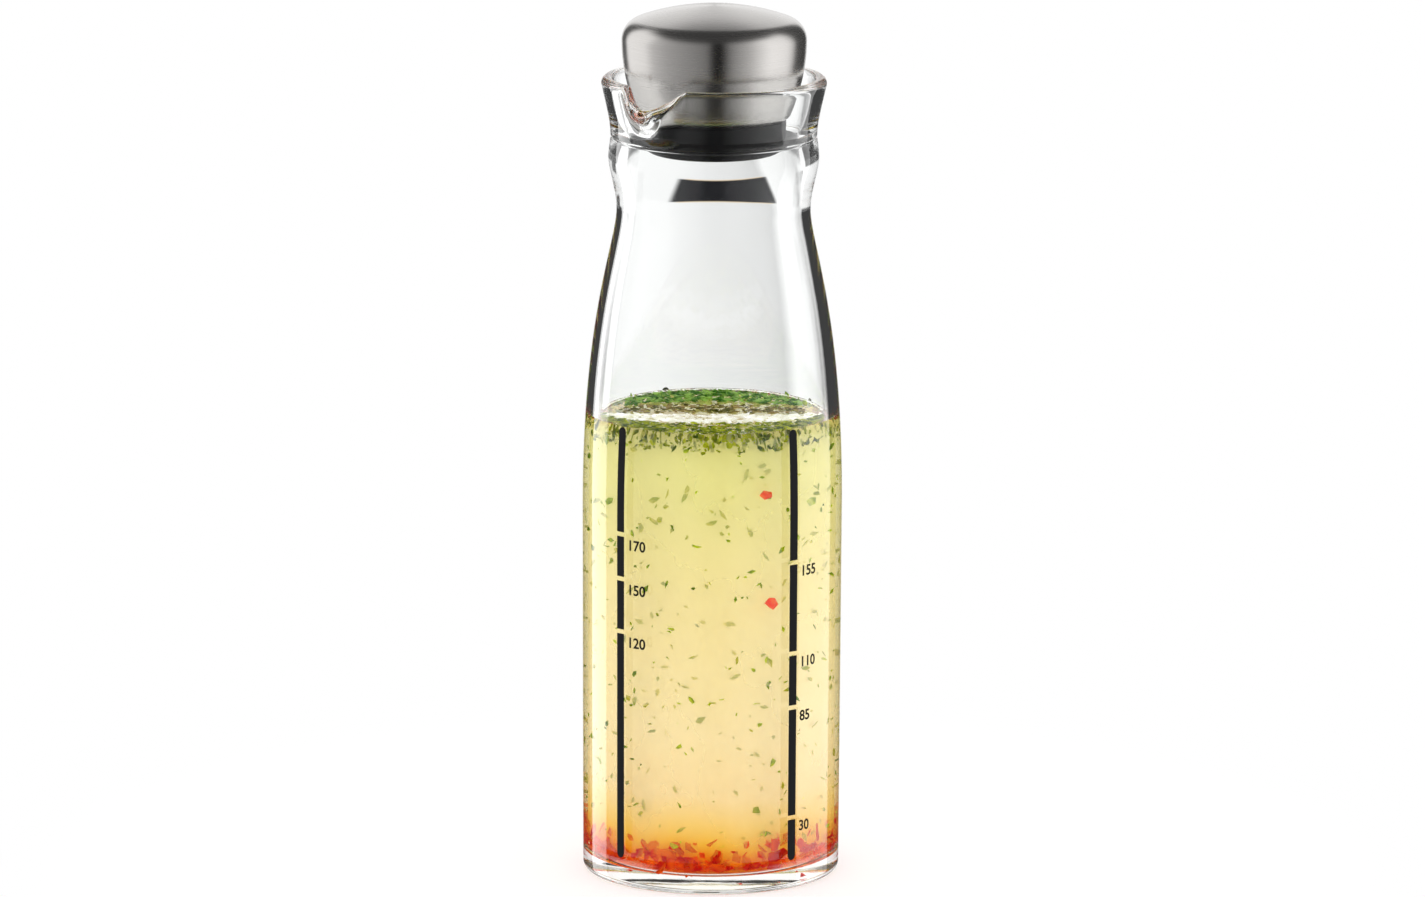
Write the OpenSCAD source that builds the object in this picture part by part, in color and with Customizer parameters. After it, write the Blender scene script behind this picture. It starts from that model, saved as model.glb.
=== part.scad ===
// Glass shaker bottle with a pouring lip and a lift-out stopper.
// Millimetres. +Z is up and the origin is the centre of the foot, on the table.
// -Y is the front of the bottle, and the pouring lip points to the front left.

/* [Body] */
// Outer diameter of the body
body_d = 58.2; // [55:0.2:61]
// How much narrower the body is at the heel than at the shoulder, on the radius
draft = 0.25; // [0:0.05:0.4]
// Height at which the straight body turns into the shoulder
shoulder_z = 84; // [78:1:90]
// Glass thickness of the body
wall = 2.7; // [2.2:0.1:3.2]
// Glass thickness of the floor beside the wall
floor_t = 3.6; // [3:0.1:5]
// Rounding of the outer heel
heel_r = 1.8; // [1:0.1:3]
// Rounding of the inner corner between wall and floor
corner_r = 4.5; // [3:0.5:6]
// Inner diameter of the ring that the bottle stands on
foot_d = 46; // [42:1:50]
// Height of the hollow under the floor
push_up = 1.4; // [0.8:0.1:2]

/* [Neck] */
// Height of the narrowest place of the neck
neck_z = 150.5; // [147:0.5:153]
// Outer diameter at the narrowest place of the neck
neck_d = 43.3; // [42.5:0.1:45]
// Diameter of the straight bore that the stopper closes
bore_d = 39; // [38:0.1:39.6]
// Height of the fullest place of the bead
bead_z = 162.3; // [160:0.5:164]
// Outer diameter of the bead
bead_d = 47; // [46.4:0.1:48.5]
// Height of the crease between bead and collar
crease_z = 167; // [166:0.5:168]
// Outer diameter at the crease
crease_d = 46.1; // [45:0.1:46.4]

/* [Rim] */
// Height of the top of the rim
rim_z = 180.4; // [178:0.5:183]
// Outer diameter of the rim
rim_d = 50.2; // [49:0.2:52]
// Glass thickness of the rim
rim_t = 3; // [2.4:0.1:3.4]
// Direction of the pouring lip, counted from +X towards +Y
spout_az = 235; // [200:1:270]
// Width of the dip for the pouring lip, as an angle
spout_span = 41; // [36:1:60]
// Depth of the dip below the rim
spout_dip = 4.6; // [3:0.2:6]
// How far the lip is drawn out past the rim
spout_out = 3; // [1:0.1:3.6]
// How far the lip leans outwards, as an angle
spout_lean = 60; // [20:1:70]
// How much thicker the glass is at the lip
spout_thick = 0.6; // [0:0.1:1.2]

/* [Cap] */
// Largest diameter of the steel cap
cap_d = 41.2; // [40:0.2:42]
// Radius of the domed top
dome_r = 51; // [44:1:70]
// Radius of the shoulder between top and side
cap_shoulder_r = 5; // [3.5:0.1:6]
// Radius of the bowed side
side_r = 38; // [34:0.5:50]
// Height from the lower edge's rounding to the widest place
side_h = 15.1; // [13:0.1:16]
// Rounding of the lower edge
edge_r = 2; // [1.4:0.1:2.6]
// Sheet thickness of the cap
sheet_t = 0.7; // [0.5:0.1:0.9]
// Height of the cap's lower edge above the crease of the neck
cap_gap = 4.4; // [3.8:0.1:5.2]

/* [Plug] */
// Length of the plug from the cap's lower edge to its underside
plug_h = 8.1; // [7.4:0.1:9]
// Diameter of the spigot that carries the seal
spigot_d = 24.4; // [23:0.2:25]
// Wall thickness of the spigot
spigot_t = 2.2; // [1.6:0.1:2.6]
// Diameter of the seal between its lips
seal_d = 32.2; // [31:0.2:34]
// Thickness of a sealing lip at its tip
lip_t = 0.6; // [0.4:0.1:0.7]
// Number of sealing lips
lip_count = 1; // [1:1:2]
// Height from one sealing lip to the next
lip_pitch = 1.5; // [1.4:0.1:1.6]
// Thickness of the disc that closes the plug
disc_t = 0.9; // [0.7:0.1:1]
// Gap between a sealing lip and the bore
lip_gap = 0.05; // [0.02:0.01:0.1]
// Gap between pieces of the stopper that are pushed together
push_gap = 0.05; // [0.02:0.01:0.1]

/* [Hidden] */

// Roundness of revolved glass and steel
ROUND = 128;
// Points along a curve of the outline
CURVE = 14;
// Points along a small rounding
FILLET = 6;
// Points along each side of the collar's section and round its rim
COLLAR = 9;
COLLAR_RIM = 6;
// Steps round the pouring lip and round the rest of the collar
LIP_STEPS = 28;
RIM_STEPS = 56;

body_r = body_d / 2;
neck_r = neck_d / 2;
bore_r = bore_d / 2;
bead_r = bead_d / 2;
crease_r = crease_d / 2;
rim_r = rim_d / 2;
foot_r = foot_d / 2;
inner_r = body_r - wall;

// How far the shoulder keeps the direction of the body and of the neck, as shares of its height
shoulder_keep = 0.65;
neck_keep = 0.115;
// The same as lengths
shoulder_reach = shoulder_keep * (neck_z - shoulder_z);
neck_reach = neck_keep * (neck_z - shoulder_z);
// How far the bead's curve keeps upright above the neck and under the bead, as shares of its rise
bead_leave = 0.38;
bead_arrive = 0.26;
waist = bead_z - neck_z;
// How far the curve over the bead keeps upright: a share of its rise, then a length
crease_leave = 0.4;
crease_arrive = 0.1;
// Lean of the collar's outside and inside at the rim, away from the pouring lip
flare_lean = 10.8;
throat_lean = 12.5;
// Lengths of the handles of the collar's outside, at the crease and at the rim, as shares of its rise
flare_leave = 0.28;
flare_arrive = 0.377;
// The same for the collar's inside
throat_leave = 0.1;
throat_arrive = 0.41;
// Lean of the collar's inside where it leaves the bore
throat_start = 11;
// Power that shapes the dip of the pouring lip, where 1 is a plain cosine
pour_power = 0.7;
// Depth by which the collar is rooted in the neck below the crease
root = 0.5;
// Step that keeps the collar's root inside the glass of the neck
root_step = 0.03;

// Heights of the stopper
cap_low = crease_z + cap_gap;
edge_z = cap_low + edge_r;
wide_z = edge_z + side_h;
plug_low = cap_low - plug_h;
// Centres of the cap's outline, going down from the dome to the edge
shoulder_c = [cap_d / 2 - cap_shoulder_r, wide_z];
dome_c = [0, wide_z - sqrt(pow(dome_r - cap_shoulder_r, 2) - pow(shoulder_c[0], 2))];
dome_end = asin(shoulder_c[0] / (dome_r - cap_shoulder_r));
side_c = [cap_d / 2 - side_r, wide_z];
side_end = asin(side_h / (side_r - edge_r));
edge_c = [side_c[0] + (side_r - edge_r) * cos(side_end), edge_z];

spigot_r = spigot_d / 2;
seal_r = seal_d / 2;
lip_r = bore_r - lip_gap;

// Share of the cap's side that the insert fills
insert_share = 0.4;
// Slope between the insert's web and its wall
web_slope = 1;
// Room that the sealing lips keep below the collar's root
lip_below = 0.3;
// Height of the slope under a sealing lip
lip_slope = 0.6;
// Bevel at the tip of a sealing lip
lip_bevel = 0.2;
// Small draft of a sealing lip's two sides
lip_draft = 0.1;
// Rounding of the sleeve's upper edge, the disc's lower edge and its boss
small_r = 0.6;
// How far the disc stays behind the seal
disc_back = 0.3;

// A point of a cubic curve with the ends a and d and the handles b and c
function cubic(a, b, c, d, t) =
    pow(1 - t, 3) * a + 3 * t * pow(1 - t, 2) * b + 3 * t * t * (1 - t) * c + pow(t, 3) * d;

// A cubic curve from a to d that leaves out its first point
function curve(a, b, c, d, n = CURVE) = [for (i = [1:n]) cubic(a, b, c, d, i / n)];

// A curve between two points of an outline that starts and ends upright
function upright(a, d, up, down, n = CURVE) = curve(a, a + [0, up], d - [0, down], d, n);

// An arc about c from angle a0 to a1, both ends included
function arc(c, r, a0, a1, n = FILLET) =
    [for (i = [0:n]) let(a = a0 + (a1 - a0) * i / n) c + r * [cos(a), sin(a)]];

function reverse(list) = [for (i = [len(list) - 1:-1:0]) list[i]];

// Outside of the glass from the heel to the crease
function glass_outside() = concat(
    arc([body_r - draft - heel_r, heel_r], heel_r, -90, 0),
    [[body_r, shoulder_z]],
    upright([body_r, shoulder_z], [neck_r, neck_z], shoulder_reach, neck_reach, 2 * CURVE),
    upright([neck_r, neck_z], [bead_r, bead_z], bead_leave * waist, bead_arrive * waist),
    upright([bead_r, bead_z], [crease_r, crease_z], crease_leave * (crease_z - bead_z), crease_arrive)
);

// Inside of the glass from the floor to the straight bore
function glass_inside() = concat(
    [[0, floor_t + push_up / 2]],
    arc([inner_r - corner_r, floor_t + corner_r], corner_r, -90, 0),
    [[inner_r, shoulder_z]],
    upright([inner_r, shoulder_z], [bore_r, neck_z], shoulder_reach, neck_reach, 2 * CURVE),
    [[bore_r, crease_z]]
);

// Height of the hollow under the floor at radius r
function hollow(r) = push_up * (1 - pow(r / foot_r, 2));

function glass_foot() = [for (i = [0:FILLET]) let(r = foot_r * i / FILLET) [r, hollow(r)]];

// How strongly the pouring lip shapes the collar in direction a, from 0 to 1
function pour(a) =
    let(off = abs(a - spout_az), near = min(off, 360 - off), part = min(1, 2 * near / spout_span))
    pow(0.5 + 0.5 * cos(180 * part), pour_power);

// A direction that leans outwards by angle a
function lean(a) = [sin(a), cos(a)];

// The collar's wall in direction a, once round its section: outside, rim, inside
function collar_section(a) =
    let(
        w = pour(a),
        roll = spout_lean * w,
        half = (rim_t + spout_thick * w) / 2,
        middle = [rim_r - rim_t / 2 + spout_out * w, rim_z - rim_t / 2 - spout_dip * w],
        rim = arc(middle, half, -roll, 180 - roll, COLLAR_RIM),
        rise = middle[1] - crease_z,
        low = [crease_r - root_step, crease_z],
        in_low = [bore_r + root_step, crease_z],
        flare = rim[0] - flare_arrive * rise * lean(flare_lean * (1 - w) + roll),
        throat = rim[COLLAR_RIM] - throat_arrive * rise * lean(throat_lean * (1 - w) + roll)
    )
    concat(
        [low - [0, root]],
        [low],
        curve(low, low + [0, flare_leave * rise], flare, rim[0], COLLAR),
        [for (i = [1:COLLAR_RIM]) rim[i]],
        curve(rim[COLLAR_RIM], throat, in_low + throat_leave * rise * lean(throat_start), in_low, COLLAR),
        [in_low - [0, root]]
    );

// Directions round the collar, closer together at the pouring lip
collar_az = [
    for (i = [0:LIP_STEPS - 1]) spout_az - spout_span / 2 + spout_span * i / LIP_STEPS,
    for (i = [0:RIM_STEPS - 1]) spout_az + spout_span / 2 + (360 - spout_span) * i / RIM_STEPS
];

// The flared collar with its rounded rim, dipped and drawn out at the pouring lip
module collar() {
    rings = [for (a = collar_az) [for (p = collar_section(a)) [p[0] * cos(a), p[0] * sin(a), p[1]]]];
    count = len(rings);
    size = len(rings[0]);
    points = [for (ring = rings) for (p = ring) p];
    faces = [
        for (i = [0:count - 1]) for (j = [0:size - 1])
            let(k = (i + 1) % count, m = (j + 1) % size)
            each [
                [i * size + j, i * size + m, k * size + j],
                [k * size + j, i * size + m, k * size + m]
            ]
    ];
    polyhedron(points, faces, convexity = 6);
}

module bottle() {
    color([0.82, 0.9, 0.9, 0.5]) {
        rotate_extrude($fn = ROUND)
            polygon(concat(glass_foot(), glass_outside(), reverse(glass_inside())));
        collar();
    }
}

// Outline of the cap from the middle of the dome to the lower edge, set in by t
function cap_outline(t) = concat(
    arc(dome_c, dome_r - t, 90, 90 - dome_end, CURVE),
    [for (i = [1:FILLET]) let(a = (90 - dome_end) * (1 - i / FILLET))
        shoulder_c + (cap_shoulder_r - t) * [cos(a), sin(a)]],
    [for (i = [1:CURVE]) let(a = -side_end * i / CURVE) side_c + (side_r - t) * [cos(a), sin(a)]],
    [for (i = [1:FILLET]) let(a = -side_end - (90 - side_end) * i / FILLET)
        edge_c + (edge_r - t) * [cos(a), sin(a)]]
);

module cap_shell() {
    color([0.72, 0.71, 0.7])
        rotate_extrude($fn = ROUND)
            polygon(concat(cap_outline(0), reverse(cap_outline(sheet_t))));
}

// Height up to which the insert fills the cap
insert_top = edge_z + insert_share * side_h;
// Radius of the hollow side of the cap at height z, with the insert's clearance
function cap_hollow(z) =
    side_c[0] + sqrt(pow(side_r - sheet_t - push_gap, 2) - pow(wide_z - z, 2));

// Black carrier that the cap is rolled round, with the spigot for the seal
module cap_insert() {
    web_low = cap_low + sheet_t + push_gap;
    web_top = web_low + spigot_t;
    neck_low = plug_low + disc_t + push_gap;
    inset = sheet_t + push_gap;
    skirt = [
        for (i = [0:FILLET]) let(a = -90 + (90 - side_end) * i / FILLET)
            edge_c + (edge_r - inset) * [cos(a), sin(a)],
        for (i = [1:FILLET]) let(z = edge_z + (insert_top - edge_z) * i / FILLET) [cap_hollow(z), z]
    ];
    color([0.09, 0.09, 0.1])
        rotate_extrude($fn = ROUND)
            polygon(concat(
                [[spigot_r - spigot_t, neck_low], [spigot_r, neck_low], [spigot_r, web_low]],
                [for (p = skirt) if (p[0] > spigot_r) p],
                [
                    [cap_hollow(insert_top) - spigot_t, insert_top],
                    [cap_hollow(insert_top) - spigot_t, web_top + web_slope],
                    [cap_hollow(insert_top) - spigot_t - web_slope, web_top],
                    [0, web_top],
                    [0, web_low],
                    [spigot_r - spigot_t, web_low]
                ]
            ));
}

// Silicone sleeve on the spigot, with lips that close the bore
module seal_sleeve() {
    low = plug_low + disc_t;
    high = cap_low - push_gap;
    // The lips stay below the crease, where the bore is straight
    lip_high = crease_z - root - lip_below;
    color([0.06, 0.06, 0.065])
        rotate_extrude($fn = ROUND)
            polygon(concat(
                [[spigot_r + push_gap, low], [seal_r, low]],
                [for (i = [lip_count - 1:-1:0]) let(z = lip_high - lip_pitch * i) each [
                    [seal_r, z - lip_t - lip_slope],
                    [lip_r - lip_bevel, z - lip_t],
                    [lip_r, z - lip_t + lip_draft],
                    [lip_r, z - lip_bevel],
                    [lip_r - lip_bevel, z],
                    [seal_r, z + lip_draft]
                ]],
                arc([seal_r - small_r, high - small_r], small_r, 0, 90),
                [[spigot_r + push_gap, high]]
            ));
}

// Disc that closes the plug from below and clips into the spigot
module plug_disc() {
    boss_r = spigot_r - spigot_t - push_gap;
    boss_top = cap_low + sheet_t;
    disc_r = seal_r - disc_back;
    color([0.08, 0.08, 0.085])
        rotate_extrude($fn = ROUND)
            polygon(concat(
                [[0, plug_low]],
                arc([disc_r - small_r, plug_low + small_r], small_r, -90, 0),
                [
                    [disc_r, plug_low + disc_t],
                    [boss_r, plug_low + disc_t],
                    [boss_r, boss_top - small_r],
                    [boss_r - small_r, boss_top],
                    [boss_r - spigot_t, boss_top],
                    [boss_r - spigot_t, plug_low + disc_t],
                    [0, plug_low + disc_t]
                ]
            ));
}

bottle();
cap_shell();
cap_insert();
seal_sleeve();
plug_disc();
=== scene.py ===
"""Looks of a glass salad dressing shaker bottle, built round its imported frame.

Everything is in metres, with +Z up, the foot's centre at the origin and the front of the bottle towards -Y.
"""

import logging
from dataclasses import dataclass, field
from enum import Enum
from math import acos, asin, atan2, ceil, cos, degrees, hypot, pi, radians, sin, sqrt, tau
from random import Random
from typing import Callable, Iterable, List, Optional, Sequence, Tuple

import bmesh
import bpy
from mathutils import Matrix, Vector, noise


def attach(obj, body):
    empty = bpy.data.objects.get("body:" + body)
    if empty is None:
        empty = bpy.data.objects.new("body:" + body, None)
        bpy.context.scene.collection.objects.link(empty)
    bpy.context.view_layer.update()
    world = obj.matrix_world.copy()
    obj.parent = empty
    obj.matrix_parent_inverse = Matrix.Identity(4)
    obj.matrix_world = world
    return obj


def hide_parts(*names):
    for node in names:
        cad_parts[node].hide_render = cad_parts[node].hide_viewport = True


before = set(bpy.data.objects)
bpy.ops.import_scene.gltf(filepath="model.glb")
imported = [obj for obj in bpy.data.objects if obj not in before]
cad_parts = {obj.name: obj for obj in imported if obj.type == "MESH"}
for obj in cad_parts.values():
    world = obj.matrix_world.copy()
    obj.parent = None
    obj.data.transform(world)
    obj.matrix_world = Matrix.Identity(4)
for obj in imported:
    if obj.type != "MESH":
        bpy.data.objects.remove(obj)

LOG = logging.getLogger("dressing_shaker")
MM = 0.001
WELD = 1e-6
OUTLINE_INDEX = "outline_index"

Colour = Tuple[float, float, float]


class Body(Enum):
    """The rigid bodies of the frame."""

    BOTTLE = "bottle"
    STOPPER = "stopper"


class Axis(Enum):
    """The place of each coordinate in a vector."""

    X = 0
    Y = 1
    Z = 2


def srgb(red: int, green: int, blue: int) -> Colour:
    """Turn a colour as a screen shows it into linear light.

    Args:
        red: Red from 0 to 255.
        green: Green from 0 to 255.
        blue: Blue from 0 to 255.

    Returns:
        The three linear values.
    """
    shares = (value / 255 for value in (red, green, blue))
    return tuple(s / 12.92 if s <= 0.04045 else ((s + 0.055) / 1.055) ** 2.4 for s in shares)


def point(radius: float, height: float) -> Vector:
    """Give a point of a turned outline, from its radius and height in millimetres."""
    return Vector((radius * MM, height * MM))


def curve(start: Vector, leave: Vector, arrive: Vector, end: Vector, count: int) -> List[Vector]:
    """Follow a cubic curve and leave out its first point.

    Args:
        start: First point of the curve.
        leave: Handle near the start.
        arrive: Handle near the end.
        end: Last point of the curve.
        count: How many points to give.

    Returns:
        The points after the start, up to the end.
    """
    steps = [index / count for index in range(1, count + 1)]
    return [
        start * (1 - t) ** 3 + leave * (3 * t * (1 - t) ** 2) + arrive * (3 * t * t * (1 - t)) + end * t ** 3
        for t in steps
    ]


def upright(start: Vector, end: Vector, up: float, down: float, count: int) -> List[Vector]:
    """Follow a curve that leaves its start and reaches its end upright.

    Args:
        start: First point of the curve.
        end: Last point of the curve.
        up: How far the curve keeps upright at its start.
        down: How far the curve keeps upright at its end.
        count: How many points to give.

    Returns:
        The points after the start, up to the end.
    """
    return curve(start, start + Vector((0, up)), end - Vector((0, down)), end, count)


def arc(centre: Vector, radius: float, first: float, last: float, count: int) -> List[Vector]:
    """Follow an arc of an outline.

    Args:
        centre: Centre of the arc.
        radius: Radius of the arc.
        first: Angle at which the arc starts, in degrees.
        last: Angle at which the arc ends, in degrees.
        count: How many steps the arc has.

    Returns:
        The points of the arc, both ends included.
    """
    angles = [radians(first + (last - first) * index / count) for index in range(count + 1)]
    return [centre + Vector((cos(a), sin(a))) * radius for a in angles]


def turned(outline: Sequence[Vector], steps: int, ring: bool = False) -> bmesh.types.BMesh:
    """Spin an outline round the upright axis into a closed skin.

    Each corner of the skin keeps the number of its outline point.

    Args:
        outline: Points of the outline, as radius and height.
        steps: How many steps a full turn has.
        ring: Whether the outline closes on itself away from the axis.

    Returns:
        The skin, with its faces pointing outwards.
    """
    bm = bmesh.new()
    layer = bm.verts.layers.int.new(OUTLINE_INDEX)
    verts = []
    for index, place in enumerate(outline):
        vert = bm.verts.new((max(place.x, 0.0), 0.0, place.y))
        vert[layer] = index
        verts.append(vert)
    follow = verts[1:] + (verts[:1] if ring else [])
    edges = [bm.edges.new(pair) for pair in zip(verts, follow)]
    bmesh.ops.spin(
        bm, geom=verts + edges, cent=(0, 0, 0), axis=(0, 0, 1), dvec=(0, 0, 0),
        angle=tau, steps=steps, use_merge=True, use_duplicate=False,
    )
    bmesh.ops.remove_doubles(bm, verts=bm.verts, dist=WELD)
    bmesh.ops.recalc_face_normals(bm, faces=bm.faces)
    return bm


def make_piece(name: str, bm: bmesh.types.BMesh, finish: "Finish", body: Body, smooth: bool = True) -> bpy.types.Object:
    """Make a finished piece from a mesh under construction.

    Args:
        name: Name of the piece.
        bm: The mesh, which is used up.
        finish: Finish of the piece.
        body: Body of the frame that the piece moves with.
        smooth: Whether the faces are shaded smooth.

    Returns:
        The piece, at the origin and riding on its body.
    """
    if bm.calc_volume(signed=True) < 0:
        bmesh.ops.reverse_faces(bm, faces=bm.faces)
    for face in bm.faces:
        face.smooth = smooth
    mesh = bpy.data.meshes.new(name)
    bm.to_mesh(mesh)
    bm.free()
    mesh.materials.append(finish.material())
    obj = bpy.data.objects.new(name, mesh)
    bpy.context.scene.collection.objects.link(obj)
    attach(obj, body.value)
    LOG.info("%s: %d faces, rides on %s", name, len(mesh.polygons), body.value)
    return obj


class Tree:
    """A node tree that is filled in by short calls."""

    def __init__(self, tree: bpy.types.NodeTree) -> None:
        """Empty the tree and keep it."""
        self.tree = tree
        tree.nodes.clear()

    def add(self, kind: str, **settings: object) -> bpy.types.Node:
        """Add a node.

        Args:
            kind: Blender's name of the node type, without its ShaderNode start.
            settings: Properties of the node and their values.

        Returns:
            The new node.
        """
        node = self.tree.nodes.new("ShaderNode" + kind)
        for name, value in settings.items():
            setattr(node, name, value)
        return node

    def link(self, source: bpy.types.NodeSocket, target: bpy.types.NodeSocket) -> None:
        """Join an output to an input."""
        self.tree.links.new(source, target)

    def put(self, target: bpy.types.NodeSocket, value: object) -> None:
        """Give an input a value or another node's output."""
        if isinstance(value, bpy.types.NodeSocket):
            self.link(value, target)
        else:
            target.default_value = value

    def maths(self, operation: str, *values: object, clamp: bool = False) -> bpy.types.NodeSocket:
        """Add one step of arithmetic.

        Args:
            operation: Name of the operation.
            values: Numbers or outputs that go in.
            clamp: Whether the result stays from 0 to 1.

        Returns:
            The result.
        """
        node = self.add("Math", operation=operation, use_clamp=clamp)
        for target, value in zip(node.inputs, values):
            self.put(target, value)
        return node.outputs[0]

    def between(self, value: object, low: float, high: float) -> bpy.types.NodeSocket:
        """Give 0 below low, 1 above high and a smooth rise between them."""
        node = self.add("MapRange", interpolation_type="SMOOTHSTEP")
        self.put(node.inputs["Value"], value)
        node.inputs["From Min"].default_value = low
        node.inputs["From Max"].default_value = high
        return node.outputs["Result"]

    def inside(self, value: object, low: float, high: float, edge: float) -> bpy.types.NodeSocket:
        """Give 1 between low and high and 0 outside, with edges that soft."""
        rise = self.between(value, low - edge / 2, low + edge / 2)
        fall = self.between(value, high - edge / 2, high + edge / 2)
        return self.maths("SUBTRACT", rise, fall, clamp=True)

    def mix(self, share: object, first: object, second: object) -> bpy.types.NodeSocket:
        """Mix two colours.

        Args:
            share: How much of the second colour there is.
            first: First colour or output.
            second: Second colour or output.

        Returns:
            The mixed colour.
        """
        node = self.add("Mix", data_type="RGBA")
        self.put(node.inputs[0], share)
        for target, value in ((node.inputs[6], first), (node.inputs[7], second)):
            self.put(target, value if isinstance(value, bpy.types.NodeSocket) else (*value, 1.0))
        return node.outputs[2]

    def ramp(self, value: object, stops: Sequence[Tuple[float, Colour]]) -> bpy.types.NodeSocket:
        """Turn a value into a colour.

        Args:
            value: The value, from 0 to 1.
            stops: Places along the value and their colours.

        Returns:
            The colour.
        """
        node = self.add("ValToRGB")
        elements = node.color_ramp.elements
        while len(elements) < len(stops):
            elements.new(1.0)
        for element, (place, colour) in zip(elements, stops):
            element.position = place
            element.color = (*colour, 1.0)
        self.put(node.inputs[0], value)
        return node.outputs[0]

    def stretched(self, scale: Tuple[float, float, float]) -> bpy.types.NodeSocket:
        """Give the place on the object, stretched along each axis."""
        place = self.add("TexCoord").outputs["Object"]
        mapping = self.add("Mapping")
        self.link(place, mapping.inputs["Vector"])
        mapping.inputs["Scale"].default_value = scale
        return mapping.outputs["Vector"]

    def noise(self, vector: bpy.types.NodeSocket, scale: float, detail: float = 2.0) -> bpy.types.NodeSocket:
        """Give a cloudy value from about 0.3 to 0.7 at a place."""
        node = self.add("TexNoise")
        self.link(vector, node.inputs["Vector"])
        node.inputs["Scale"].default_value = scale
        node.inputs["Detail"].default_value = detail
        return node.outputs[0]

    def bump(self, height: bpy.types.NodeSocket, strength: float, distance: float) -> bpy.types.NodeSocket:
        """Tilt a surface by a height, with the distance in metres."""
        node = self.add("Bump")
        node.inputs["Strength"].default_value = strength
        node.inputs["Distance"].default_value = distance
        self.link(height, node.inputs["Height"])
        return node.outputs["Normal"]


@dataclass(frozen=True)
class Finish:
    """A finish that is one material, made once."""

    name: str

    def material(self) -> bpy.types.Material:
        """Give the material, and make it at its first use."""
        made = bpy.data.materials.get(self.name)
        if made is None:
            made = bpy.data.materials.new(self.name)
            made.use_nodes = True
            tree = Tree(made.node_tree)
            output = tree.add("OutputMaterial")
            self.fill(tree, output)
        return made

    def fill(self, tree: Tree, output: bpy.types.Node) -> None:
        """Fill the material's tree.

        Args:
            tree: The empty tree.
            output: The tree's output node.
        """
        raise NotImplementedError


@dataclass(frozen=True)
class ClearGlass(Finish):
    """Pressed soda glass with a faint waviness."""

    tint: Colour = (0.99, 0.997, 0.994)
    ior: float = 1.5
    wave_scale: float = 70.0
    wave_height: float = 0.00003

    def fill(self, tree: Tree, output: bpy.types.Node) -> None:
        """Fill the tree with a clear dielectric over wavy bump."""
        glass = tree.add("BsdfPrincipled")
        glass.inputs["Base Color"].default_value = (*self.tint, 1.0)
        glass.inputs["Transmission Weight"].default_value = 1.0
        glass.inputs["Roughness"].default_value = 0.0
        glass.inputs["IOR"].default_value = self.ior
        waves = tree.noise(tree.stretched((1.0, 1.0, 0.35)), self.wave_scale)
        tree.link(tree.bump(waves, 1.0, self.wave_height), glass.inputs["Normal"])
        tree.link(glass.outputs[0], output.inputs["Surface"])


@dataclass(frozen=True)
class BrushedSteel(Finish):
    """Stainless steel brushed round its axis."""

    colour: Colour = srgb(203, 200, 197)
    smoothest: float = 0.2
    roughest: float = 0.32
    anisotropy: float = 0.72
    line_scale: float = 5200.0
    line_stretch: float = 0.008

    def fill(self, tree: Tree, output: bpy.types.Node) -> None:
        """Fill the tree with metal whose lines run round the axis."""
        steel = tree.add("BsdfPrincipled")
        place = tree.add("SeparateXYZ")
        tree.link(tree.add("TexCoord").outputs["Object"], place.inputs[0])
        along = tree.maths("SQRT", tree.maths(
            "ADD",
            tree.maths("POWER", place.outputs[0], 2.0),
            tree.maths("POWER", place.outputs[1], 2.0),
        ))
        across = tree.maths("SUBTRACT", along, place.outputs[2])
        lines = tree.add("CombineXYZ")
        tree.link(tree.maths("MULTIPLY", place.outputs[0], self.line_stretch), lines.inputs[0])
        tree.link(tree.maths("MULTIPLY", place.outputs[1], self.line_stretch), lines.inputs[1])
        tree.link(across, lines.inputs[2])
        fine = tree.noise(lines.outputs[0], self.line_scale, 3.0)
        broad = tree.noise(tree.stretched((1.0, 1.0, 2.0)), 60.0)
        shade = tree.mix(fine, tuple(0.93 * c for c in self.colour), tuple(min(1.0, 1.07 * c) for c in self.colour))
        tree.link(shade, steel.inputs["Base Color"])
        steel.inputs["Metallic"].default_value = 1.0
        spread = self.roughest - self.smoothest
        rough = tree.maths("MULTIPLY_ADD", tree.maths("ADD", tree.maths("MULTIPLY", fine, 0.7),
                           tree.maths("MULTIPLY", broad, 0.3)), spread, self.smoothest)
        tree.link(rough, steel.inputs["Roughness"])
        steel.inputs["Anisotropic"].default_value = self.anisotropy
        steel.inputs["Anisotropic Rotation"].default_value = 0.25
        tree.link(tree.bump(fine, 0.12, 0.00001), steel.inputs["Normal"])
        tree.link(steel.outputs[0], output.inputs["Surface"])


@dataclass(frozen=True)
class Moulded(Finish):
    """Moulded plastic, rubber or ink: one colour with a fine grain."""

    colour: Colour = (0.012, 0.012, 0.013)
    roughness: float = 0.4
    grain_scale: float = 1800.0
    grain_height: float = 0.00001
    variation: float = 0.25
    gloss: float = 0.5

    def fill(self, tree: Tree, output: bpy.types.Node) -> None:
        """Fill the tree with a grained skin."""
        skin = tree.add("BsdfPrincipled")
        place = tree.stretched((1.0, 1.0, 1.0))
        grain = tree.noise(place, self.grain_scale)
        cloud = tree.noise(place, 90.0)
        dark = tuple(c * (1 - self.variation) for c in self.colour)
        light = tuple(c * (1 + self.variation) for c in self.colour)
        tree.link(tree.mix(cloud, dark, light), skin.inputs["Base Color"])
        skin.inputs["Specular IOR Level"].default_value = self.gloss
        rough = tree.maths("MULTIPLY_ADD", grain, 0.12, self.roughness - 0.06)
        tree.link(rough, skin.inputs["Roughness"])
        tree.link(tree.bump(grain, 0.4, self.grain_height), skin.inputs["Normal"])
        tree.link(skin.outputs[0], output.inputs["Surface"])


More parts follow.
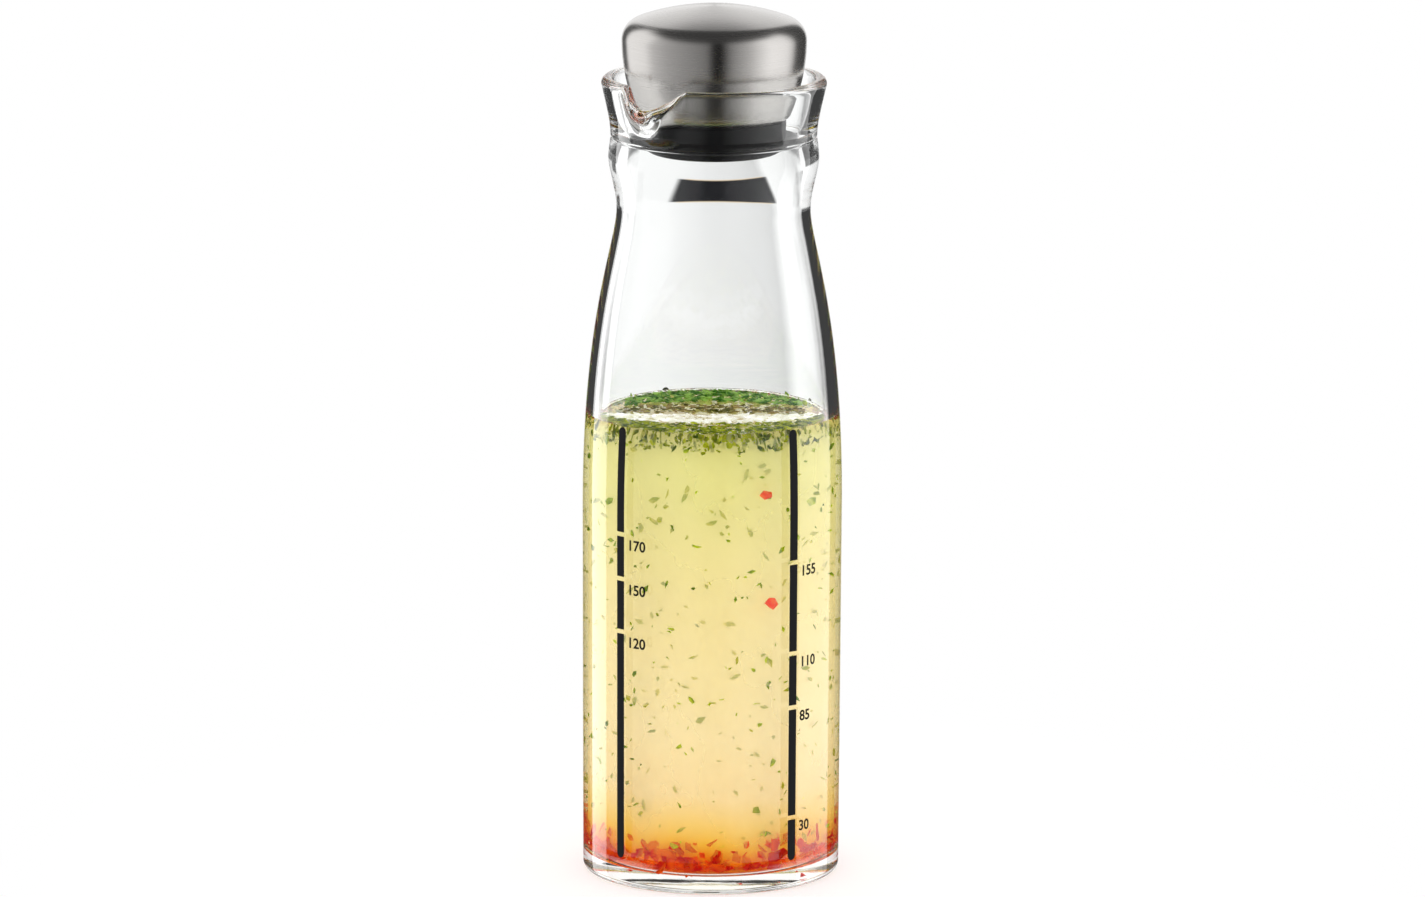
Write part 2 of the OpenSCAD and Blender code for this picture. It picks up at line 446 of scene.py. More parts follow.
@dataclass(frozen=True)
class ClearDressing(Finish):
    """The clear yellow vinegar and oil that carries the haze and the herbs."""

    ior: float = 1.37
    tint: Colour = (1.0, 0.995, 0.97)
    absorbed: Colour = (0.94, 0.9, 0.56)
    density: float = 36.0

    def fill(self, tree: Tree, output: bpy.types.Node) -> None:
        """Fill the tree with a tinted liquid."""
        liquid = tree.add("BsdfPrincipled")
        liquid.inputs["Base Color"].default_value = (*self.tint, 1.0)
        liquid.inputs["Transmission Weight"].default_value = 1.0
        liquid.inputs["Roughness"].default_value = 0.0
        liquid.inputs["IOR"].default_value = self.ior
        ripple = tree.noise(tree.stretched((1.0, 1.0, 0.1)), 220.0)
        tree.link(tree.bump(ripple, 0.5, 0.00004), liquid.inputs["Normal"])
        tree.link(liquid.outputs[0], output.inputs["Surface"])
        depth = tree.add("VolumeAbsorption")
        depth.inputs["Color"].default_value = (*self.absorbed, 1.0)
        depth.inputs["Density"].default_value = self.density
        tree.link(depth.outputs[0], output.inputs["Volume"])


@dataclass(frozen=True)
class Haze(Finish):
    """Cloudy dressing: pale above, golden below and red brown at the floor."""

    cover: float = 1.0
    # glow: strength of a painted glow, an emission in the haze's own colour that makes it shine without any lamp
    glow: float = 0.09
    floor: float = 0.004
    top: float = 0.107
    stops: Tuple[Tuple[float, Colour], ...] = (
        (0.0, srgb(246, 100, 6)),
        (0.03, srgb(252, 164, 20)),
        (0.06, srgb(255, 216, 84)),
        (0.10, srgb(255, 230, 144)),
        (0.17, srgb(255, 240, 204)),
        (0.30, srgb(255, 244, 216)),
        (0.60, srgb(252, 242, 204)),
        (0.84, srgb(246, 242, 186)),
        (0.97, srgb(240, 238, 172)),
        (0.985, srgb(255, 254, 240)),
    )

    def fill(self, tree: Tree, output: bpy.types.Node) -> None:
        """Fill the tree with a diffuse skin plus a painted glow, an emission in its own colour, that lets part of the
        view through.
        """
        place = tree.add("SeparateXYZ")
        tree.link(tree.add("TexCoord").outputs["Object"], place.inputs[0])
        cloud = tree.noise(tree.stretched((1.0, 1.0, 0.6)), 55.0, 4.0)
        height = tree.maths("ADD", place.outputs[2], tree.maths("MULTIPLY_ADD", cloud, 0.008, -0.004))
        share = tree.maths("DIVIDE", tree.maths("SUBTRACT", height, self.floor), self.top - self.floor)
        colour = tree.ramp(share, self.stops)
        skin = tree.add("BsdfDiffuse")
        tree.link(colour, skin.inputs["Color"])
        # Painted glow: an emission in the haze's own colour, added to the diffuse skin
        painted_glow = tree.add("Emission")
        tree.link(colour, painted_glow.inputs["Color"])
        painted_glow.inputs["Strength"].default_value = self.glow
        haze_with_painted_glow = tree.add("AddShader")
        tree.link(skin.outputs[0], haze_with_painted_glow.inputs[0])
        tree.link(painted_glow.outputs[0], haze_with_painted_glow.inputs[1])
        if self.cover >= 1.0:
            tree.link(haze_with_painted_glow.outputs[0], output.inputs["Surface"])
            return
        clear = tree.add("BsdfTransparent")
        veil = tree.add("MixShader")
        patchy = tree.maths("MULTIPLY_ADD", cloud, 1.6 * self.cover, 0.2 * self.cover, clamp=True)
        tree.link(patchy, veil.inputs[0])
        tree.link(clear.outputs[0], veil.inputs[1])
        tree.link(haze_with_painted_glow.outputs[0], veil.inputs[2])
        tree.link(veil.outputs[0], output.inputs["Surface"])


@dataclass(frozen=True)
class Flake(Finish):
    """Chopped herb or pepper, with a different shade from flake to flake."""

    dark: Colour = srgb(126, 158, 10)
    light: Colour = srgb(212, 226, 62)
    # through: strength of a painted glow, an emission in the flake's own shade that makes it shine without any lamp
    through: float = 0.1
    shade_scale: float = 420.0
    contrast: float = 4.0

    def fill(self, tree: Tree, output: bpy.types.Node) -> None:
        """Fill the tree with a leafy, partly translucent skin and a little painted glow, an emission in the flake's own
        shade.
        """
        leaf = tree.add("BsdfPrincipled")
        place = tree.stretched((1.0, 1.0, 1.0))
        patch = tree.noise(place, self.shade_scale, 1.0)
        share = tree.maths("MULTIPLY_ADD", patch, self.contrast, 0.5 - self.contrast / 2, clamp=True)
        vein = tree.noise(place, 4000.0)
        shade = tree.mix(share, self.dark, self.light)
        tree.link(shade, leaf.inputs["Base Color"])
        leaf.inputs["Roughness"].default_value = 0.5
        leaf.inputs["Specular IOR Level"].default_value = 0.1
        tree.link(tree.bump(vein, 0.5, 0.00005), leaf.inputs["Normal"])
        glow = tree.add("BsdfTranslucent")
        tree.link(shade, glow.inputs["Color"])
        both = tree.add("MixShader")
        both.inputs[0].default_value = 0.55
        tree.link(leaf.outputs[0], both.inputs[1])
        tree.link(glow.outputs[0], both.inputs[2])
        # Painted glow: an emission in the flake's own shade, added to the leaf
        painted_glow = tree.add("Emission")
        tree.link(shade, painted_glow.inputs["Color"])
        painted_glow.inputs["Strength"].default_value = self.through
        leaf_with_painted_glow = tree.add("AddShader")
        tree.link(both.outputs[0], leaf_with_painted_glow.inputs[0])
        tree.link(painted_glow.outputs[0], leaf_with_painted_glow.inputs[1])
        tree.link(leaf_with_painted_glow.outputs[0], output.inputs["Surface"])


@dataclass
class GlassBottle:
    """The bottle: straight body, long shoulder, beaded neck and flared collar with its pouring lip.

    Sizes are in millimetres, as in the frame's own source.
    """

    body_r: float = 29.1
    inner_r: float = 26.4
    shoulder_z: float = 84.0
    floor_t: float = 3.6
    heel_r: float = 1.8
    corner_r: float = 4.5
    foot_r: float = 23.0
    push_up: float = 1.4
    neck_z: float = 150.5
    neck_r: float = 21.65
    bore_r: float = 19.5
    bead_z: float = 162.3
    bead_r: float = 23.5
    crease_z: float = 167.0
    crease_r: float = 23.05
    rim_z: float = 180.4
    rim_r: float = 25.1
    rim_t: float = 3.0
    draft: float = 0.25
    spout_az: float = 235.0
    spout_span: float = 41.0
    spout_dip: float = 4.6
    spout_out: float = 3.0
    spout_lean: float = 60.0
    spout_thick: float = 0.6
    crease_cut: float = 0.5
    steps: int = 288
    finish: ClearGlass = ClearGlass("pressed_glass")

    def reach(self) -> Tuple[float, float]:
        """Give how far the shoulder keeps the direction of the body and of the neck."""
        rise = self.neck_z - self.shoulder_z
        return 0.65 * rise * MM, 0.115 * rise * MM

    def closed(self, height: float) -> float:
        """Give how far the shoulder has closed at a height, from 0 at the body to 1 at the neck."""
        share = (height - self.shoulder_z) / (self.neck_z - self.shoulder_z)
        up, down = 0.65, 0.115
        low, high = 0.0, 1.0
        for _ in range(24):
            t = (low + high) / 2
            z = 3 * t * (1 - t) ** 2 * up + 3 * t * t * (1 - t) * (1 - down) + t ** 3
            low, high = (t, high) if z < share else (low, t)
        return 3 * t * t * (1 - t) + t ** 3

    def skin(self, height: float) -> float:
        """Give the outer radius of the body and the shoulder at a height."""
        if height > self.shoulder_z:
            return self.body_r + (self.neck_r - self.body_r) * self.closed(height)
        return self.body_r - self.draft * (self.shoulder_z - height) / (self.shoulder_z - self.heel_r)

    def foot(self) -> List[Vector]:
        """Give the outline under the floor, from the middle to the standing ring."""
        count = 10
        radii = [self.foot_r * index / count for index in range(count + 1)]
        return [point(r, self.push_up * (1 - (r / self.foot_r) ** 2)) for r in radii]

    def outside(self) -> List[Vector]:
        """Give the outline from the heel to the crease."""
        start_reach, end_reach = self.reach()
        shoulder = point(self.body_r, self.shoulder_z)
        neck = point(self.neck_r, self.neck_z)
        bead = point(self.bead_r, self.bead_z)
        crease = point(self.crease_r, self.crease_z)
        low = point(self.crease_r, self.crease_z - self.crease_cut)
        waist = (self.bead_z - self.neck_z) * MM
        straight = [point(self.skin(z), z) for z in (
            self.heel_r + share * (self.shoulder_z - self.heel_r) for share in (0.02, 0.2, 0.4, 0.6, 0.8, 1.0)
        )]
        return (
            arc(point(self.body_r - self.draft - self.heel_r, self.heel_r), self.heel_r * MM, -90, 0, 8)
            + straight
            + upright(shoulder, neck, start_reach, end_reach, 40)
            + upright(neck, bead, 0.38 * waist, 0.26 * waist, 18)
            + upright(bead, low, 0.4 * (self.crease_z - self.bead_z) * MM, 0.1 * MM, 12)
            + [crease - Vector((self.crease_cut * MM, 0.1 * MM)), crease + Vector((-0.1 * MM, 0.1 * MM))]
        )

    def collar(self, draw: float) -> List[Vector]:
        """Give the collar's section from the crease over the rim to the bore.

        Args:
            draw: How strongly the pouring lip shapes the section, from 0 to 1.

        Returns:
            The points of the section.
        """
        roll = self.spout_lean * draw
        half = (self.rim_t + self.spout_thick * draw) / 2
        middle = point(self.rim_r - self.rim_t / 2 + self.spout_out * draw,
                       self.rim_z - self.rim_t / 2 - self.spout_dip * draw)
        rim = arc(middle, half * MM, -roll, 180 - roll, 12)
        rise = middle.y - self.crease_z * MM
        low = point(self.crease_r, self.crease_z + self.crease_cut)
        in_low = point(self.bore_r, self.crease_z)
        flare = rim[0] - self.leaning(10.8 * (1 - draw) + roll, 0.377 * rise)
        throat = rim[-1] - self.leaning(12.5 * (1 - draw) + roll, 0.41 * rise)
        outer = curve(low, low + Vector((0, 0.28 * rise)), flare, rim[0], 18)
        inner = curve(rim[-1], throat, in_low + self.leaning(11.0, 0.1 * rise), in_low, 18)
        return [low] + outer + rim[1:] + inner

    @staticmethod
    def leaning(angle: float, length: float) -> Vector:
        """Give a step of that length that leans outwards by an angle."""
        return Vector((sin(radians(angle)), cos(radians(angle)))) * length

    def inside(self) -> List[Vector]:
        """Give the outline from the bore down to the middle of the inner floor."""
        start_reach, end_reach = self.reach()
        shoulder = point(self.inner_r, self.shoulder_z)
        neck = point(self.bore_r, self.neck_z)
        shoulder_up = upright(shoulder, neck, start_reach, end_reach, 40)
        corner = arc(point(self.inner_r - self.corner_r, self.floor_t + self.corner_r),
                     self.corner_r * MM, -90, 0, 10)
        low = self.floor_t + self.corner_r
        straight = [point(self.inner_r, low + share * (self.shoulder_z - low)) for share in
                    (0.02, 0.2, 0.4, 0.6, 0.8, 1.0)]
        bore = [point(self.bore_r, self.neck_z + share * (self.crease_z - self.neck_z)) for share in
                (0.05, 0.35, 0.65, 0.95)]
        middle = [point(0, self.floor_t + self.push_up / 2), point(8, self.floor_t + 0.8 * self.push_up / 2)]
        return list(reversed(middle + corner + straight + shoulder_up + bore))

    def lip_weight(self, azimuth: float) -> float:
        """Give how strongly the pouring lip shapes the collar in a direction, from 0 to 1."""
        off = abs(azimuth - self.spout_az)
        part = min(1.0, 2 * min(off, 360 - off) / self.spout_span)
        return (0.5 + 0.5 * cos(pi * part)) ** 0.7

    def build(self) -> bpy.types.Object:
        """Build the bottle, which stands for the frame's own."""
        before = self.foot() + self.outside()
        rim = self.collar(0.0)
        bm = turned(before + rim + self.inside(), self.steps)
        layer = bm.verts.layers.int[OUTLINE_INDEX]
        sections = {}
        for vert in bm.verts:
            index = vert[layer] - len(before)
            if not 0 <= index < len(rim):
                continue
            angle = atan2(vert.co.y, vert.co.x)
            turn = round(degrees(angle) * self.steps / 360)
            if turn not in sections:
                sections[turn] = self.collar(self.lip_weight(degrees(angle) % 360))
            place = sections[turn][index]
            vert.co = Vector((place.x * cos(angle), place.x * sin(angle), place.y))
        obj = make_piece("glass_bottle", bm, self.finish, Body.BOTTLE)
        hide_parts("bottle")
        return obj


@dataclass
class Stopper:
    """The lift-out stopper: steel cap, black insert, sealing sleeve and closing disc.

    Sizes are in millimetres, as in the frame's own source.
    """

    cap_low: float = 171.4
    cap_d: float = 41.2
    dome_r: float = 51.0
    shoulder_r: float = 5.0
    side_r: float = 38.0
    side_h: float = 15.1
    edge_r: float = 2.0
    sheet_t: float = 0.7
    plug_h: float = 8.1
    spigot_r: float = 12.2
    spigot_t: float = 2.2
    seal_r: float = 16.1
    bore_r: float = 19.5
    lip_t: float = 0.6
    lip_count: int = 1
    lip_pitch: float = 1.5
    lip_high: float = 166.2
    disc_t: float = 0.9
    lip_gap: float = 0.05
    push_gap: float = 0.05
    steps: int = 192
    steel: BrushedSteel = BrushedSteel("brushed_steel")
    plastic: Moulded = Moulded("moulded_plastic", colour=(0.006, 0.006, 0.007), roughness=0.35, gloss=0.2)
    silicone: Moulded = Moulded("moulded_silicone", colour=(0.005, 0.005, 0.006), roughness=0.45, gloss=0.12)

    def __post_init__(self) -> None:
        """Work out the heights and the centres of the cap's outline."""
        self.edge_z = self.cap_low + self.edge_r
        self.wide_z = self.edge_z + self.side_h
        self.plug_low = self.cap_low - self.plug_h
        shoulder_x = self.cap_d / 2 - self.shoulder_r
        drop = sqrt((self.dome_r - self.shoulder_r) ** 2 - shoulder_x ** 2)
        self.dome_end = degrees(asin(shoulder_x / (self.dome_r - self.shoulder_r)))
        self.side_x = self.cap_d / 2 - self.side_r
        self.side_end = degrees(asin(self.side_h / (self.side_r - self.edge_r)))
        self.shoulder_c = point(shoulder_x, self.wide_z)
        self.dome_c = point(0, self.wide_z - drop)
        self.side_c = point(self.side_x, self.wide_z)
        self.edge_c = point(self.side_x + (self.side_r - self.edge_r) * cos(radians(self.side_end)), self.edge_z)

    def cap_outline(self, inset: float) -> List[Vector]:
        """Give the cap's outline from the dome's middle to the lower edge.

        Args:
            inset: How far the outline is set in, in millimetres.

        Returns:
            The points of the outline.
        """
        return (
            arc(self.dome_c, (self.dome_r - inset) * MM, 90, 90 - self.dome_end, 24)
            + arc(self.shoulder_c, (self.shoulder_r - inset) * MM, 90 - self.dome_end, 0, 14)[1:]
            + arc(self.side_c, (self.side_r - inset) * MM, 0, -self.side_end, 18)[1:]
            + arc(self.edge_c, (self.edge_r - inset) * MM, -self.side_end, -90, 8)[1:]
        )

    def cap_hollow(self, height: float) -> float:
        """Give the radius of the hollow side of the cap at a height, less the insert's clearance."""
        reach = self.side_r - self.sheet_t - self.push_gap
        return self.side_x + sqrt(reach ** 2 - (self.wide_z - height) ** 2)

    def build_cap(self) -> bpy.types.Object:
        """Build the steel cap."""
        outline = self.cap_outline(0.0) + list(reversed(self.cap_outline(self.sheet_t)))
        obj = make_piece("steel_cap", turned(outline, self.steps), self.steel, Body.STOPPER)
        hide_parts("cap_shell")
        return obj

    def build_insert(self) -> bpy.types.Object:
        """Build the black insert that the cap is rolled round."""
        inset = self.sheet_t + self.push_gap
        web_low = self.cap_low + inset
        web_top = web_low + self.spigot_t
        neck_low = self.plug_low + self.disc_t + self.push_gap
        top = self.edge_z + 0.4 * self.side_h
        skirt = [
            p for p in arc(self.edge_c, (self.edge_r - inset) * MM, -90, -self.side_end, 6)
            if p.x > self.spigot_r * MM
        ]
        rise = [self.edge_z + (top - self.edge_z) * index / 6 for index in range(1, 7)]
        wall_r = self.cap_hollow(top) - self.spigot_t
        outline = (
            [point(0, web_low), point(self.spigot_r - self.spigot_t, web_low),
             point(self.spigot_r - self.spigot_t, neck_low), point(self.spigot_r, neck_low),
             point(self.spigot_r, web_low)]
            + skirt
            + [point(self.cap_hollow(z), z) for z in rise]
            + [point(wall_r, top), point(wall_r, web_top + 1), point(wall_r - 1, web_top), point(0, web_top)]
        )
        bm = turned(outline, self.steps)
        obj = make_piece("cap_insert_black", bm, self.plastic, Body.STOPPER, smooth=False)
        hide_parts("cap_insert")
        return obj

    def build_sleeve(self) -> bpy.types.Object:
        """Build the silicone sleeve with its sealing lips."""
        lip_r = self.bore_r - self.lip_gap
        low = self.plug_low + self.disc_t
        high = self.cap_low - self.push_gap
        outline = [point(self.spigot_r + self.push_gap, low), point(self.seal_r, low)]
        for index in range(self.lip_count - 1, -1, -1):
            z = self.lip_high - self.lip_pitch * index
            outline += [
                point(self.seal_r, z - self.lip_t - 0.6), point(lip_r - 0.2, z - self.lip_t),
                point(lip_r, z - self.lip_t + 0.1), point(lip_r, z - 0.2),
                point(lip_r - 0.2, z), point(self.seal_r, z + 0.1),
            ]
        outline += arc(point(self.seal_r - 0.6, high - 0.6), 0.6 * MM, 0, 90, 6)
        outline.append(point(self.spigot_r + self.push_gap, high))
        bm = turned(outline, self.steps, ring=True)
        obj = make_piece("sealing_sleeve", bm, self.silicone, Body.STOPPER, smooth=False)
        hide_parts("seal_sleeve")
        return obj

    def build_disc(self) -> bpy.types.Object:
        """Build the disc that closes the plug from below."""
        boss_r = self.spigot_r - self.spigot_t - self.push_gap
        boss_top = self.cap_low + self.sheet_t
        disc_r = self.seal_r - 0.3
        top = self.plug_low + self.disc_t
        outline = (
            [point(0, self.plug_low)]
            + arc(point(disc_r - 0.6, self.plug_low + 0.6), 0.6 * MM, -90, 0, 6)
            + [point(disc_r, top), point(boss_r, top), point(boss_r, boss_top - 0.6),
               point(boss_r - 0.6, boss_top), point(boss_r - self.spigot_t, boss_top),
               point(boss_r - self.spigot_t, top), point(0, top)]
        )
        obj = make_piece("closing_disc", turned(outline, self.steps), self.plastic, Body.STOPPER, smooth=False)
        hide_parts("plug_disc")
        return obj

    def build(self) -> None:
        """Build the four pieces of the stopper."""
        self.build_cap()
        self.build_insert()
        self.build_sleeve()
        self.build_disc()


@dataclass
class Dressing:
    """The dressing in the bottle: clear liquid, haze, herbs, pepper flakes and bubbles.

    Sizes are in millimetres.
    """

    bottle: GlassBottle
    level: float = 104.1
    meniscus: float = 0.5
    overlap: float = 0.15
    haze_r: float = 20.0
    steps: int = 160
    seed: int = 41

    def wall(self, height: float, inset: float) -> float:
        """Give the radius of the bottle's inner wall at a height, less an inset."""
        b = self.bottle
        corner = b.floor_t + b.corner_r
        if height < corner:
            down = min(corner - height, b.corner_r)
            return b.inner_r - b.corner_r + sqrt(max(0.0, b.corner_r ** 2 - down ** 2)) - inset
        if height <= b.shoulder_z:
            return b.inner_r - inset
        return b.inner_r + (b.bore_r - b.inner_r) * b.closed(height) - inset

    def side(self, low: float, high: float, inset: float, count: int) -> List[Vector]:
        """Give an outline along the inner wall.

        Args:
            low: Height at which the outline starts.
            high: Height at which the outline ends.
            inset: How far it stays inside the wall.
            count: How many steps it has.

        Returns:
            The points of the outline, going up.
        """
        heights = [low + (high - low) * index / count for index in range(count + 1)]
        return [point(self.wall(z, inset), z) for z in heights]

    def build_liquid(self) -> bpy.types.Object:
        """Build the clear liquid, which laps a hair into the glass so that no air film shows."""
        b = self.bottle
        corner = b.floor_t + b.corner_r
        floor = [point(0, b.floor_t + b.push_up / 2 - self.overlap), point(8, b.floor_t + 0.8 * b.push_up / 2 - self.overlap)]
        bend = arc(point(b.inner_r - b.corner_r, corner), (b.corner_r + self.overlap) * MM, -90, 0, 10)
        top = self.level + self.meniscus
        wall = self.side(corner + 2, top, -self.overlap, 26)
        climb = [
            point(self.wall(self.level, reach) , self.level + self.meniscus * (1 - reach / 3.2) ** 3)
            for reach in (0.25, 0.6, 1.0, 1.5, 2.1, 2.7, 3.2)
        ]
        still = [point(reach, self.level) for reach in (20.0, 14.0, 7.0, 0.0)]
        bm = turned(floor + bend + wall + climb + still, self.steps)
        obj = make_piece("dressing_liquid", bm, ClearDressing("clear_dressing"), Body.BOTTLE)
        return obj

    def build_haze(self, name: str, radius: float, cover: float) -> bpy.types.Object:
        """Build one layer of the cloudy dressing.

        Args:
            name: Name of the piece.
            radius: Radius of the layer.
            cover: How much of the view it hides.

        Returns:
            The piece.
        """
        b = self.bottle
        low = b.floor_t + 1.2
        high = self.level - 2.2
        outline = [point(0, low)]
        outline += arc(point(radius - 3, low + 3), 3 * MM, -90, 0, 6)
        outline += [point(radius, low + 3 + (high - low - 5) * share) for share in (0.1, 0.3, 0.5, 0.7, 0.9)]
        outline += arc(point(radius - 2, high - 2), 2 * MM, 0, 90, 5)
        outline += [point(reach, high) for reach in (14.0, 10.0, 6.0, 3.0, 0.0)]
        bm = turned(outline, self.steps)
        return make_piece(name, bm, Haze(name, cover=cover), Body.BOTTLE)

    @staticmethod
    def chopped(seed: int, slim: float) -> List[bpy.types.Mesh]:
        """Cut a few flakes of length 1, which the scattered ones repeat.

        Args:
            seed: Start of the random numbers.
            slim: Smallest width of a flake against its length.

        Returns:
            The flakes' meshes.
        """
        chance = Random(seed)
        shapes = []
        for _ in range(12):
            bm = bmesh.new()
            bmesh.ops.create_circle(bm, cap_ends=True, segments=chance.choice((4, 5, 6, 7)), radius=0.5)
            width = chance.uniform(slim, 1.0)
            bend = chance.uniform(-0.35, 0.35)
            for vert in bm.verts:
                jitter = chance.uniform(0.5, 1.3)
                x, y = vert.co.x * jitter, vert.co.y * jitter * width
                vert.co = Vector((x, y, bend * x * x))
            lifted = bmesh.ops.extrude_face_region(bm, geom=list(bm.faces), use_keep_orig=True)
            moved = [item for item in lifted["geom"] if isinstance(item, bmesh.types.BMVert)]
            bmesh.ops.translate(bm, vec=(0, 0, 0.08), verts=moved)
            bmesh.ops.recalc_face_normals(bm, faces=bm.faces)
            mesh = bpy.data.meshes.new("flake")
            bm.to_mesh(mesh)
            bm.free()
            shapes.append(mesh)
        return shapes

    def flakes(
        self,
        name: str,
        finish: Finish,
        count: int,
        pick: Callable[[Random], Tuple[float, float, float]],
        size: Tuple[float, float],
        seed: int,
        slim: float = 0.5,
        flat: bool = False,
    ) -> bpy.types.Object:
        """Scatter chopped flakes in the dressing as one piece.

        Args:
            name: Name of the piece.
            finish: Finish of the flakes.
            count: How many flakes there are.
            pick: Gives the radius, angle and height of a flake from a random source.
            size: Smallest and largest length of a flake.
            seed: Start of the random numbers.
            slim: Smallest width of a flake against its length.
            flat: Whether the flakes lie flat on the liquid.

        Returns:
            The piece.
        """
        chance = Random(seed)
        shapes = self.chopped(seed, slim)
        bm = bmesh.new()
        for _ in range(count):
            radius, angle, height = pick(chance)
            length = size[0] + (size[1] - size[0]) * chance.random() ** 1.6
            loose = 0.15 if flat else 0.6
            lean = Matrix.Rotation(chance.gauss(0, loose), 4, "X") @ Matrix.Rotation(chance.gauss(0, loose), 4, "Y")
            face_out = Matrix.Rotation(angle, 4, "Z") @ Matrix.Rotation(0.0 if flat else pi / 2, 4, "Y")
            place = Matrix.Translation(Vector((radius * cos(angle), radius * sin(angle), height)) * MM)
            spin = Matrix.Rotation(chance.uniform(0, tau), 4, "Z")
            flake = chance.choice(shapes).copy()
            flake.transform(place @ face_out @ lean @ spin @ Matrix.Scale(length * MM, 4))
            bm.from_mesh(flake)
            bpy.data.meshes.remove(flake)
        for shape in shapes:
            bpy.data.meshes.remove(shape)
        return make_piece(name, bm, finish, Body.BOTTLE, smooth=False)

    def ring_pick(
        self, low: float, high: float, inner: float, margin: float, power: float = 1.0
    ) -> Callable[[Random], Tuple[float, float, float]]:
        """Make a picker of places in the clear ring between the haze and the glass.

        Args:
            low: Lowest height.
            high: Highest height.
            inner: Smallest radius.
            margin: Room left to the wall.
            power: Above 1, the places crowd towards the low end.

        Returns:
            The picker.
        """
        def pick(chance: Random) -> Tuple[float, float, float]:
            """Give a radius, an angle and a height."""
            height = low + (high - low) * chance.random() ** power
            outer = self.wall(height, margin)
            radius = sqrt(chance.uniform(min(inner, outer - 0.5) ** 2, outer ** 2))
            return radius, chance.uniform(0, tau), height
        return pick

    def patch_pick(
        self, half: float, near: float, far: float, low: float, high: float
    ) -> Callable[[Random], Tuple[float, float, float]]:
        """Make a picker of places in a strip of the surface that bends with the rear wall.

        Args:
            half: Half the strip's width.
            near: Distance of the strip's near edge behind the middle.
            far: Distance of its far edge.
            low: Lowest height over the surface.
            high: Highest height over it.

        Returns:
            The picker.
        """
        def pick(chance: Random) -> Tuple[float, float, float]:
            """Give a radius, an angle and a height."""
            across = chance.uniform(-half, half)
            bend = sqrt(24.6 ** 2 - across ** 2) / 24.6
            along = chance.uniform(near, far) * bend
            return hypot(across, along), atan2(along, across), self.level + chance.uniform(low, high)
        return pick

    def front_pick(self, places: Sequence[Tuple[float, float]]) -> Callable[[Random], Tuple[float, float, float]]:
        """Make a picker that gives chosen places by the front wall in turn, as direction and height."""
        queue = list(places)

        def pick(chance: Random) -> Tuple[float, float, float]:
            """Give the next place."""
            direction, height = queue.pop(0)
            return self.wall(height, 1.0), radians(direction), height
        return pick

    def line_pick(self, chance: Random) -> Tuple[float, float, float]:
        """Give a place on the rear contact line, where the liquid climbs the wall."""
        height = self.level + self.meniscus - chance.uniform(0.1, 0.3)
        return self.wall(height, chance.uniform(0.35, 0.6)), chance.uniform(0.03, 0.97) * pi, height

    def rim_pick(self, chance: Random) -> Tuple[float, float, float]:
        """Give a place on the rear wall at the surface, where herbs cling."""
        height = self.level + chance.uniform(-2.2, -0.3)
        return self.wall(height, chance.uniform(0.3, 1.6)), chance.uniform(0.12, 0.88) * pi, height

    def build_bubbles(self) -> bpy.types.Object:
        """Build the small bubbles under the surface."""
        chance = Random(self.seed + 9)
        bm = bmesh.new()
        for _ in range(240):
            angle = chance.uniform(0, tau)
            height = self.level - abs(chance.gauss(0, 1.6)) + 0.3
            radius = self.wall(height, chance.uniform(0.5, 7.0))
            centre = Vector((radius * cos(angle), radius * sin(angle), height)) * MM
            bmesh.ops.create_icosphere(
                bm, subdivisions=1, radius=chance.uniform(0.18, 0.42) * MM, matrix=Matrix.Translation(centre)
            )
        return make_piece("bubbles", bm, ClearGlass("bubble_film", tint=(1.0, 1.0, 0.97), ior=1.2), Body.BOTTLE)

    def build(self) -> None:
        """Build everything that is in the bottle."""
        self.build_liquid()
        self.build_haze("haze_core", self.haze_r, 1.0)
        self.build_haze("haze_veil", self.haze_r + 3.0, 0.3)
        herb = Flake("herb_green")
        pale = Flake("herb_sunken", dark=srgb(168, 184, 48), light=srgb(214, 212, 100))
        wet = Flake("herb_wet", dark=srgb(84, 112, 8), light=srgb(196, 204, 40))
        bright = Flake("herb_bright", dark=srgb(70, 130, 16), light=srgb(170, 206, 100), contrast=6.0)
        drowned = Flake("herb_drowned", dark=srgb(92, 96, 24), light=srgb(176, 156, 96))
        orange = Flake("pepper_orange", dark=srgb(246, 70, 16), light=srgb(255, 140, 60))
        foam = Flake("froth_white", dark=srgb(246, 246, 238), light=srgb(255, 255, 255))
        pepper = Flake("pepper_red", dark=srgb(232, 34, 0), light=srgb(255, 124, 8), through=0.0, shade_scale=300.0)
        top = self.level - 0.4
        self.flakes("herbs_loose", herb, 360, self.ring_pick(10, top, 22.5, 0.9), (0.6, 2.4), self.seed, 0.3)
        self.flakes("herbs_sunken", pale, 520, self.ring_pick(10, top, 20.4, 3.0), (0.8, 2.8), self.seed + 1, 0.35)
        self.flakes("herbs_floating", wet, 1700, self.ring_pick(top - 0.4, self.level - 4.0, 16.0, 0.3, 1.5),
                    (0.5, 1.8), self.seed + 2, 0.4)
        self.flakes("herbs_at_rim", herb, 260, self.rim_pick, (1.0, 3.0), self.seed + 5, 0.3)
        self.flakes("herbs_behind", bright, 560, self.patch_pick(20, 12, 24, 0.05, 0.5), (0.9, 2.4),
                    self.seed + 8, 0.4, flat=True)
        self.flakes("herbs_mid", drowned, 300, self.patch_pick(21, 0, 9.5, -0.2, 0.15), (0.8, 2.2),
                    self.seed + 6, 0.4, flat=True)
        self.flakes("contact_line", foam, 700, self.line_pick, (0.5, 0.9), self.seed + 12, 0.6, flat=True)
        self.flakes("froth", foam, 420, self.patch_pick(24.3, -12, -3, 0.02, 0.06), (0.8, 2.6),
                    self.seed + 10, 0.5, flat=True)
